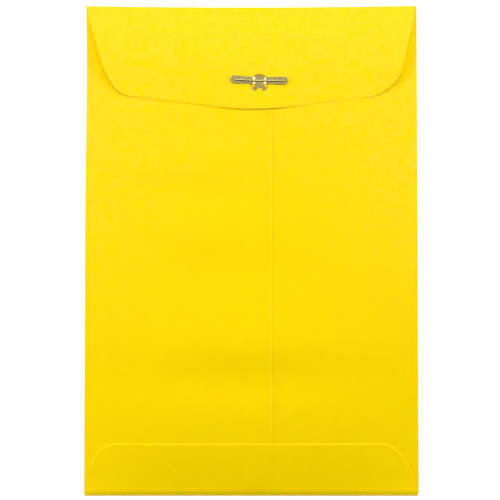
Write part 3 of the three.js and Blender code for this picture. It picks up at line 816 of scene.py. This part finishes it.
def gum_strip(name, node, low, high, lift):
    piece = flat_sheet(name, low[0], high[0], low[1], high[1], GUM_HEIGHT, GUM_STEP)
    reshape(piece, lift)
    piece.data.materials.append(gum)
    thicken(piece, GUM_FILM)
    recalculate(piece)
    shade(piece)
    declare_gum(piece, "envelope", node)


def seam_gum_lift(x, y, z):
    return x, y, z + swell_height(x, y)


def foot_gum_lift(x, y, z):
    x, y, z = foot_settles(x, y, z)
    return x, y, z + swell_height(x, y) - FOOT_EDGE_STEP


gum_strip("seam_gum_line", "seam_gum", SEAM_GUM_LOW, SEAM_GUM_HIGH, seam_gum_lift)
gum_strip("foot_gum_line", "foot_flap_gum", FOOT_GUM_LOW, FOOT_GUM_HIGH, foot_gum_lift)


# The closure flap: the blank's top panel, turned over at the top fold. It climbs over the mouth, lies
# on the back's middle and springs up a little at its sides. Its hole for the clasp is punched.
FLAP_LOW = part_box("closure_flap")[0]
TIP_Y = FLAP_LOW[1] - 0.3 * MM
FLAP_GAP = 0.14 * MM  # between it and the back
FLAP_PRESS = 0.1 * MM  # and this much less along its lower edge
FLAP_PRESS_START = TOP_Y - 25 * MM
FLAP_PRESS_LENGTH = 15 * MM
OFF_LEFT_PANEL = 0.4  # share of a layer's height that it keeps where the left panel has ended
SIDE_LIFT = 2.0 * MM  # its sides spring up by this much
SIDE_LIFT_START = 52 * MM
SIDE_LIFT_WIDTH = 22 * MM
SHOULDER_SETTLE = 0.42  # share of that lift which is lost at its shoulders
SHOULDER_SETTLE_START = TOP_Y - 32 * MM
SHOULDER_SETTLE_LENGTH = 11 * MM
CLASP_LIFT = 0.36 * MM  # the clasp and the eyelet patch under it lift it by this much
CLASP_LIFT_REACH = (19 * MM, 14 * MM)
TIP_LIFT = 0.75 * MM  # its tip stands off
TIP_LIFT_REACH = (14 * MM, 9 * MM)
ROOT_RISE = 16 * MM  # it climbs to its level over this length
BEND_SOFTNESS = 0.8 * MM
SPLIT_Y = TOP_Y - 5.6 * MM  # where the fold's piece of it meets the rest, on the straight climb
FLAP_SIDE_INSET = 6.7 * MM
FLAP_SIDE_DEPTH = 27 * MM
LEFT_SIDE_BOW = 2.7 * MM
RIGHT_SIDE_BOW = 3.3 * MM
RIGHT_SHOULDER_PULL = 4 * MM  # its right shoulder is cut rounder: it starts this much further in
# The two control points inside a shoulder's curve: where each lies from the nearer end of it, in
# millimetres across and up, and the shares of that pull that it goes across and up.
SHOULDER_FROM_EDGE = (7, 1.05, -0.9, -0.2)
SHOULDER_FROM_SIDE = (-2.4, -8, 0.2, -0.6)
SHOULDER_STEPS = 14
EDGE_STEPS = 8
FLAP_SHOULDER_INSET = 20.6 * MM
FLAP_SHOULDER_DEPTH = 45.35 * MM
FLAP_SKEW = 0.8 * MM  # the flap's sides were cut this much too far to the right
FLAP_TIP_ROUND = 18 * MM
FLAP_STEP = 1.5 * MM
HOLE_RADIUS = 4.45 * MM
HOLE_X = 4 * MM
HOLE_Y = TOP_Y - 39.5 * MM
HOLE_STEPS = 64
PUNCH_LENGTH = 100 * MM
ON_LINE = 0.001 * MM  # points this near to a line of the flap are on it
HALF_WIDTH = ENVELOPE_HIGH[0]
shoulder_x = HALF_WIDTH - FLAP_SHOULDER_INSET
shoulder_y = TOP_Y - FLAP_SHOULDER_DEPTH
edge_slope = (shoulder_y - TIP_Y) / (shoulder_x - FLAP_TIP_ROUND / 2)
tip_start_y = shoulder_y - edge_slope * (shoulder_x - FLAP_TIP_ROUND)


def half_outline(side_bow, pull):
    """The outline from the flap's point out along its edge, round its shoulder and up its side."""
    side = HALF_WIDTH - FLAP_SIDE_INSET
    side_y = TOP_Y - FLAP_SIDE_DEPTH

    def control(x, y, offset):
        across, up, pull_across, pull_up = offset
        return x + across * MM + pull_across * pull, y + up * MM + pull_up * pull

    shoulder = (
        (shoulder_x - pull, shoulder_y - pull * edge_slope),
        control(shoulder_x, shoulder_y, SHOULDER_FROM_EDGE),
        control(side, side_y, SHOULDER_FROM_SIDE),
        (side, side_y),
    )
    tip = ((0, TIP_Y), (FLAP_TIP_ROUND / 2, TIP_Y), (FLAP_TIP_ROUND, tip_start_y))
    bowed_in = (HALF_WIDTH - side_bow, TOP_Y - FLAP_SIDE_DEPTH / 2)
    upward = ((side, side_y), bowed_in, (HALF_WIDTH, TOP_Y))
    outline = curve_points(tip, EDGE_STEPS) + curve_points(shoulder, SHOULDER_STEPS)
    return outline + curve_points(upward, EDGE_STEPS)[1:]


def flap_outline():
    left = [(-x, y) for x, y in reversed(half_outline(LEFT_SIDE_BOW, 0))][:-1]
    both = left + half_outline(RIGHT_SIDE_BOW, RIGHT_SHOULDER_PULL)
    return [(x + FLAP_SKEW * eased((TOP_Y - y) / FLAP_SIDE_DEPTH), y) for x, y in both]


def flap_height(x, y):
    """How high the middle of the flap's thickness is: a climb from the fold, eased into its level."""
    on_left_panel = 1 - eased((x - SEAM_EDGE) / (2 * STEP_WIDTH))
    level = CREASE_ROOF + swell_height(x, y) + PAPER + FLAP_GAP + PAPER / 2
    level += LAYER * (OFF_LEFT_PANEL + (1 - OFF_LEFT_PANEL) * on_left_panel)
    level -= FLAP_PRESS * eased((FLAP_PRESS_START - y) / FLAP_PRESS_LENGTH)
    settled = 1 - SHOULDER_SETTLE * eased((SHOULDER_SETTLE_START - y) / SHOULDER_SETTLE_LENGTH)
    level += SIDE_LIFT * settled * eased((abs(x) - SIDE_LIFT_START) / SIDE_LIFT_WIDTH)
    from_clasp = ((x - HOLE_X) / CLASP_LIFT_REACH[0]) ** 2 + ((y - HOLE_Y) / CLASP_LIFT_REACH[1]) ** 2
    level += CLASP_LIFT * math.exp(-from_clasp ** 2)
    from_tip = ((x - HOLE_X) / TIP_LIFT_REACH[0]) ** 2 + ((y - TIP_Y) / TIP_LIFT_REACH[1]) ** 2
    level += TIP_LIFT * math.exp(-from_tip)
    fold_top = 2 * FOLD_RADIUS - PAPER / 2
    climb = fold_top + (TOP_Y - FOLD_RADIUS - y) * (level - fold_top) / ROOT_RISE
    return (climb + level - math.hypot(climb - level, BEND_SOFTNESS)) / 2


flap_whole = flat_sheet(
    "closure_flap_paper", -HALF_WIDTH, HALF_WIDTH, TIP_Y, TOP_Y - FOLD_RADIUS, 0, FLAP_STEP
)
die_cut(flap_whole, flap_outline())
rule_lines(flap_whole, [SPLIT_Y], (0, 1, 0))
reshape(flap_whole, lambda x, y, z: (x, y, flap_height(x, y)))

select_border(flap_whole, lambda x, y, z: y > SPLIT_Y - ON_LINE)
bpy.ops.mesh.separate(type="SELECTED")
bpy.ops.object.mode_set(mode="OBJECT")
fold_strip = next(piece for piece in bpy.context.selected_objects if piece != flap_whole)
fold_strip.name = "flap_fold_paper"
fold_y = TOP_Y - FOLD_RADIUS
fold_middle = (0, fold_y, (flap_height(0, fold_y) + PAPER / 2) / 2)
roll_crease(fold_strip, lambda x, y, z: y > fold_y - ON_LINE, math.pi, fold_middle, (1, 0, 0))
holed_paper = paper_finish("holed_paper", PAPER_YELLOW, hole=(HOLE_X, HOLE_Y, HOLE_RADIUS))
for piece, finish in ((flap_whole, holed_paper), (fold_strip, paper)):
    piece.data.materials.clear()
    piece.data.materials.append(finish)
    piece.data.materials.append(cut_edge)
    recalculate(piece)
    bow_top(piece)
    thicken(piece)


def cut_with(piece, die, operation="DIFFERENCE"):
    """Cuts the piece with the die, which is then put away."""
    cut = piece.modifiers.new("cut", "BOOLEAN")
    cut.operation = operation
    cut.object = die
    apply_all(piece)
    bpy.data.objects.remove(die)


def punch(piece):
    """Punches the clasp's round hole straight through the sheet."""
    bpy.ops.object.select_all(action="DESELECT")
    bpy.ops.mesh.primitive_cylinder_add(
        vertices=HOLE_STEPS, radius=HOLE_RADIUS, depth=PUNCH_LENGTH, location=(HOLE_X, HOLE_Y, 0)
    )
    cut_with(piece, bpy.context.object)


punch(flap_whole)
for piece in (flap_whole, fold_strip):
    recalculate(piece)
    shade(piece)
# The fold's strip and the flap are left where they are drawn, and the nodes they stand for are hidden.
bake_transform(fold_strip)
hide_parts("flap_root")
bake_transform(flap_whole)
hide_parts("closure_flap")

# Painted shadow: the strip of the back in the shade of the flap's sides is left out of the painted
# paleness, for the deeper yellow of shade.
SHADE_WIDTH = 3.2 * MM
SHADE_SOFTNESS = 1.5 * MM
SHADE_START_X = 54 * MM
SHADE_GROWTH_X = 10 * MM
SHADE_GROWTH_Y = 8 * MM  # up from the shoulders
cut_line = flap_outline()


def painted_shadow_share(x, y):
    if abs(x) < SHADE_START_X or y < shoulder_y:
        return 0.0
    side = eased((abs(x) - SHADE_START_X) / SHADE_GROWTH_X) * eased((y - shoulder_y) / SHADE_GROWTH_Y)
    return side * eased(1 - (edge_distance(x, y, cut_line) - SHADE_WIDTH) / SHADE_SOFTNESS)


for panel in (left_panel, right_panel):
    mark_paper(panel, "painted_shadow", painted_shadow_share)


# The flap's gum and eyelet patch: a band of gum along its lower edge, and a square of the same paper
# glued on its inner side round the hole, punched with it.
PATCH_LOW, PATCH_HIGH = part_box("eyelet_patch")
GUM_LOW, GUM_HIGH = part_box("closure_gum")
GUM_MARGIN = 3 * MM
GUM_WIDTH = 13 * MM
PATCH_CORNER = 2 * MM
PATCH_CORNER_STEPS = 6
PATCH_GUM_GAP = 1 * MM
PATCH_GAP = 0.02 * MM


def lower_edge_y(x):
    out = abs(x) / FLAP_TIP_ROUND
    if out < 1:
        return TIP_Y + (tip_start_y - TIP_Y) * out ** 2
    return tip_start_y + (abs(x) - FLAP_TIP_ROUND) * edge_slope


patch = flat_sheet("eyelet_patch_paper", PATCH_LOW[0], PATCH_HIGH[0], PATCH_LOW[1], PATCH_HIGH[1], 0, MM)
patch_x = (PATCH_LOW[0] + PATCH_HIGH[0]) / 2
patch_y = (PATCH_LOW[1] + PATCH_HIGH[1]) / 2
half_x = PATCH_HIGH[0] - patch_x - PATCH_CORNER
half_y = PATCH_HIGH[1] - patch_y - PATCH_CORNER
patch_outline = []
for turn, (across, up) in enumerate(((1, 1), (-1, 1), (-1, -1), (1, -1))):
    for i in range(PATCH_CORNER_STEPS + 1):
        angle = math.pi / 2 * (turn + i / PATCH_CORNER_STEPS)
        x = patch_x + across * half_x + PATCH_CORNER * math.cos(angle)
        y = patch_y + up * half_y + PATCH_CORNER * math.sin(angle)
        patch_outline.append((x, y))
die_cut(patch, patch_outline)
reshape(patch, lambda x, y, z: (x, y, flap_height(x, y) - PAPER - PATCH_GAP))
patch.data.materials.append(paper)
patch.data.materials.append(cut_edge)
thicken(patch)
punch(patch)
recalculate(patch)
shade(patch)
declare_paper(patch, "flap", "eyelet_patch")

flap_gum = flat_sheet("flap_gum_band", GUM_LOW[0], GUM_HIGH[0], 0, GUM_WIDTH, 0, GUM_STEP)
reshape(flap_gum, lambda x, y, z: (x, y + lower_edge_y(x) + GUM_MARGIN, z))
reshape(flap_gum, lambda x, y, z: (x, y, flap_height(x, y) - PAPER / 2 - GUM_FILM))
thicken(flap_gum, GUM_FILM)
bpy.ops.object.select_all(action="DESELECT")
bpy.ops.mesh.primitive_cube_add(size=1)
gap_die = bpy.context.object
bpy.ops.object.mode_set(mode="EDIT")
gap_x = PATCH_HIGH[0] - PATCH_LOW[0] + 2 * PATCH_GUM_GAP
gap_y = PATCH_HIGH[1] - PATCH_LOW[1] + 2 * PATCH_GUM_GAP
bpy.ops.transform.resize(value=(gap_x, gap_y, 1))
bpy.ops.transform.translate(value=(HOLE_X, HOLE_Y + PATCH_GUM_GAP, 0))
bpy.ops.object.mode_set(mode="OBJECT")
cut_with(flap_gum, gap_die)
flap_gum.data.materials.append(gum)
recalculate(flap_gum)
shade(flap_gum)
declare_gum(flap_gum, "flap", "closure_gum")


# The clasp's base: a stamping of thin gold-lacquered tinplate, with a pressed rib across its middle
# and four splayed feet. Each foot's tang goes through a slit in the back and is clinched over inside.
places = {joint["name"]: joint["pos_m"] for joint in frame["joints"]}
CLASP_X = HOLE_X
CLASP_Y = places["right_prong_bend"][1] - 0.2 * MM
PLATE_Z = places["right_prong_bend"][2]  # the middle of its thickness
METAL = 0.25 * MM
TORSO_HALF = 1.95 * MM
RIB_HALF = 0.5 * MM
RIB_RISE = 0.22 * MM
METAL_STEP = 0.1 * MM
METAL_EDGE = 0.05 * MM  # the sheared edges are rounded by this much
METAL_EDGE_STEPS = 3
METAL_SHARP = math.radians(50)  # edges sharper than this are rounded
METAL_SMOOTH = 40  # in degrees
BASE_HALF = 5.2 * MM
DIE_HEIGHT = 4 * MM
TANG_X = 4.2 * MM
TANG_HALF = 0.5 * MM
TANG_Y = 5.775 * MM
TANG_DROP = 0.69 * MM
TANG_BEND = 0.17 * MM
TANG_CLINCH = 1.3 * MM
TANG_METAL = 0.96 * METAL  # it is drawn a little thinner as it bends
TANG_STEP = 0.07 * MM
FOOT_END = 5.6 * MM
TIN_GOLD = (0.43, 0.345, 0.13)
TIN_DEEP = (0.35, 0.275, 0.095)
TIN_ROUGHNESS = (0.16, 0.3)
TIN_CLOUDS = 900  # the scales of its clouds, handling marks and rolling lines
TIN_MARKS = 2600
TIN_LINES = 5000
TIN_MARK_LENGTH = 0.15
TIN_LINE_LENGTH = 0.08
TIN_LINE_STRENGTH = 0.12
TIN_LINE_HEIGHT = 0.03 * MM
# The right half of the upper and of the lower pair of feet, in millimetres from the clasp's centre.
UPPER_FEET = (
    (1.95, 1.75),
    (2.6, 1.8),
    (2.9, 2.1),
    (2.9, 2.6),
    (2.7, 2.9),
    (4.95, 4.4),
    (4.95, 5.6),
    (3.45, 5.6),
    (1.5, 4.3),
    (0.5, 3.8),
)
LOWER_FEET = (
    (1.95, 1.5),
    (2.0, 2.15),
    (2.7, 2.8),
    (3.35, 3.4),
    (4.0, 4.3),
    (4.95, 4.9),
    (4.95, 5.6),
    (2.1, 5.6),
    (1.75, 4.8),
    (1.6, 4.25),
    (1.15, 3.75),
    (0.5, 3.6),
)


def tinplate_finish():
    """Gold-lacquered tinplate: bright, a little uneven, with fine rolling lines and handling marks."""
    made = Finish("clasp_metal")
    clouds = made.noise(TIN_CLOUDS, detail=4)
    marks = made.noise(TIN_MARKS, detail=3, stretch=(TIN_MARK_LENGTH, 1, 1))
    lines = made.noise(TIN_LINES, detail=3, stretch=(TIN_LINE_LENGTH, 1, 1))
    look = {
        "Metallic": 1,
        "Base Color": made.ramp(clouds, low=0.32, low_color=TIN_DEEP, high=0.62, high_color=TIN_GOLD),
        "Roughness": made.spread(marks, *TIN_ROUGHNESS),
        "Normal": made.bump(lines, TIN_LINE_STRENGTH, TIN_LINE_HEIGHT),
    }
    made.feed(made.shader, look)
    return made.material


tinplate = tinplate_finish()


def rib_height(across):
    """The rib's round form: 1 along its middle line, 0 from its half width on."""
    return math.cos(math.pi / 2 * min(1, abs(across) / RIB_HALF)) ** 2


def outline_die(outline):
    """A straight-sided block with the given outline, to cut a sheet with."""
    bpy.ops.object.select_all(action="DESELECT")
    bpy.ops.mesh.primitive_circle_add(vertices=len(outline), radius=1, fill_type="NGON")
    die = bpy.context.object
    for corner, (x, y) in zip(die.data.vertices, outline):
        corner.co = (x, y, -DIE_HEIGHT / 2)
    bpy.ops.object.mode_set(mode="EDIT")
    bpy.ops.mesh.select_all(action="SELECT")
    bpy.ops.mesh.extrude_region_move(TRANSFORM_OT_translate={"value": (0, 0, DIE_HEIGHT)})
    bpy.ops.mesh.select_all(action="SELECT")
    bpy.ops.mesh.normals_make_consistent(inside=False)
    bpy.ops.object.mode_set(mode="OBJECT")
    return die


def round_edges(piece):
    edge = piece.modifiers.new("sheared_edge", "BEVEL")
    edge.width = METAL_EDGE
    edge.segments = METAL_EDGE_STEPS
    edge.limit_method = "ANGLE"
    edge.angle_limit = METAL_SHARP
    apply_all(piece)


clasp_base = flat_sheet(
    "clasp_base_stamping", -BASE_HALF, BASE_HALF, -BASE_HALF - MM, BASE_HALF + MM, 0, METAL_STEP
)
reshape(clasp_base, lambda x, y, z: (x, y, RIB_RISE * rib_height(y)))
thicken(clasp_base, METAL)
upper_half = [(x * MM, y * MM) for x, y in UPPER_FEET]
lower_half = [(x * MM, y * MM) for x, y in LOWER_FEET]
base_line = upper_half + [(-x, y) for x, y in reversed(upper_half)]
base_line += [(-x, -y) for x, y in lower_half] + [(x, -y) for x, y in reversed(lower_half)]
cut_with(clasp_base, outline_die(base_line), "INTERSECT")
recalculate(clasp_base)
round_edges(clasp_base)


tang_flat = TANG_Y - FOOT_END - TANG_BEND
tang_arc = TANG_BEND * math.pi / 2
tang_leg = TANG_DROP - 2 * TANG_BEND
tang_length = tang_flat + 2 * tang_arc + tang_leg + TANG_CLINCH


def tang_path(s):
    """The middle line of a tang, outward and up from the end of its foot's flat part."""
    if s < tang_flat:
        return FOOT_END + s, 0
    s -= tang_flat
    if s < tang_arc:
        turn = s / TANG_BEND
        return TANG_Y - TANG_BEND * (1 - math.sin(turn)), -TANG_BEND * (1 - math.cos(turn))
    s -= tang_arc
    if s < tang_leg:
        return TANG_Y, -TANG_BEND - s
    s -= tang_leg
    if s < tang_arc:
        turn = s / TANG_BEND
        up = -TANG_DROP + TANG_BEND * (1 - math.sin(turn))
        return TANG_Y - TANG_BEND * (1 - math.cos(turn)), up
    s -= tang_arc
    return TANG_Y - TANG_BEND - s, -TANG_DROP


tangs = []
for side in (-1, 1):
    for end in (-1, 1):
        tang = flat_sheet("tang", -TANG_HALF, TANG_HALF, 0, tang_length, 0, TANG_STEP)
        reshape(tang, lambda x, y, z: (x + side * TANG_X, end * tang_path(y)[0], tang_path(y)[1]))
        thicken(tang, TANG_METAL)
        recalculate(tang)
        round_edges(tang)
        tangs.append(tang)
select_only(clasp_base)
for tang in tangs:
    tang.select_set(True)
bpy.ops.object.join()
reshape(clasp_base, lambda x, y, z: (x + CLASP_X, y + CLASP_Y, z + PLATE_Z))
clasp_base.data.materials.append(tinplate)
recalculate(clasp_base)
shade(clasp_base, METAL_SMOOTH)
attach(clasp_base, "envelope")
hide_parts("clasp_base")


# The two prongs of the same stamping: ribbed strips with round ends that go up through the hole and
# are folded down over the flap by hand, so each steps over the hole's edge and its tip stands off.
PRONG_LENGTH = 12.3 * MM
PRONG_ROOT_HALF = 1.7 * MM
PRONG_TIP_HALF = 1.95 * MM
PRONG_LEVEL = 0.75 * MM
PRONG_STEP_START = 0.15 * MM
PRONG_STEP_WIDTH = 1.3 * MM
PRONG_TIP_LIFT = 0.42 * MM
PRONG_CROWN = 0.08 * MM
PRONG_RIB_GROWTH = 2 * MM  # its rib and crown have their full form from here on
PRONG_RIB_END = 1.5 * MM
PRONG_RIB_FADE = 0.9 * MM
PRONG_RIB_RISE = 0.26 * MM
PRONG_RIB_DROP = 0.2 * MM
LEFT_SLANT = math.radians(3.5)
LEFT_SHORTER = 0.1 * MM
RIGHT_SHORTER = 0.5 * MM


def prong_place(s, v):
    """A point of the prong's flat outline: s runs from root to tip, v from -1 to 1 across."""
    straight = PRONG_LENGTH - PRONG_TIP_HALF
    if s < straight:
        half = PRONG_ROOT_HALF + (PRONG_TIP_HALF - PRONG_ROOT_HALF) * s / straight
        return s, v * half
    t = (s - straight) / PRONG_TIP_HALF
    along = straight + PRONG_TIP_HALF * t * math.sqrt(1 - v * v / 2)
    return along, v * PRONG_TIP_HALF * math.sqrt(1 - t * t / 2)


def prong_height(s, across):
    climb = PRONG_LEVEL * eased((s - PRONG_STEP_START) / PRONG_STEP_WIDTH)
    start = PRONG_STEP_START + PRONG_STEP_WIDTH
    climb += PRONG_TIP_LIFT * max(0, s - start) / (PRONG_LENGTH - start)
    grown = eased(s / PRONG_RIB_GROWTH)
    rise = RIB_RISE + (PRONG_RIB_RISE - RIB_RISE) * grown
    rise *= eased((PRONG_LENGTH - PRONG_RIB_END - s) / PRONG_RIB_FADE)
    rib = rise * rib_height(across + PRONG_RIB_DROP * grown)
    return climb + rib - PRONG_CROWN * grown * (across / PRONG_TIP_HALF) ** 2


def prong(name, node, side, slant, shortened):
    piece = flat_sheet(name, 0, PRONG_LENGTH, -PRONG_TIP_HALF, PRONG_TIP_HALF, 0, METAL_STEP)

    def place(x, y, z):
        s, across = prong_place(x, y / PRONG_TIP_HALF)
        turned_s = s * math.cos(slant) - across * math.sin(slant) - shortened * eased(s / PRONG_LENGTH)
        turned_across = s * math.sin(slant) + across * math.cos(slant)
        up = PLATE_Z + prong_height(s, across)
        return CLASP_X + side * (TORSO_HALF + turned_s), CLASP_Y + turned_across, up

    reshape(piece, place)
    piece.data.materials.append(tinplate)
    thicken(piece, METAL)
    recalculate(piece)
    round_edges(piece)
    recalculate(piece)
    shade(piece, METAL_SMOOTH)
    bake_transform(piece)
    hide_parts(node)


prong("left_prong_stamping", "left_prong", side=-1, slant=LEFT_SLANT, shortened=LEFT_SHORTER)
prong("right_prong_stamping", "right_prong", side=1, slant=0, shortened=RIGHT_SHORTER)
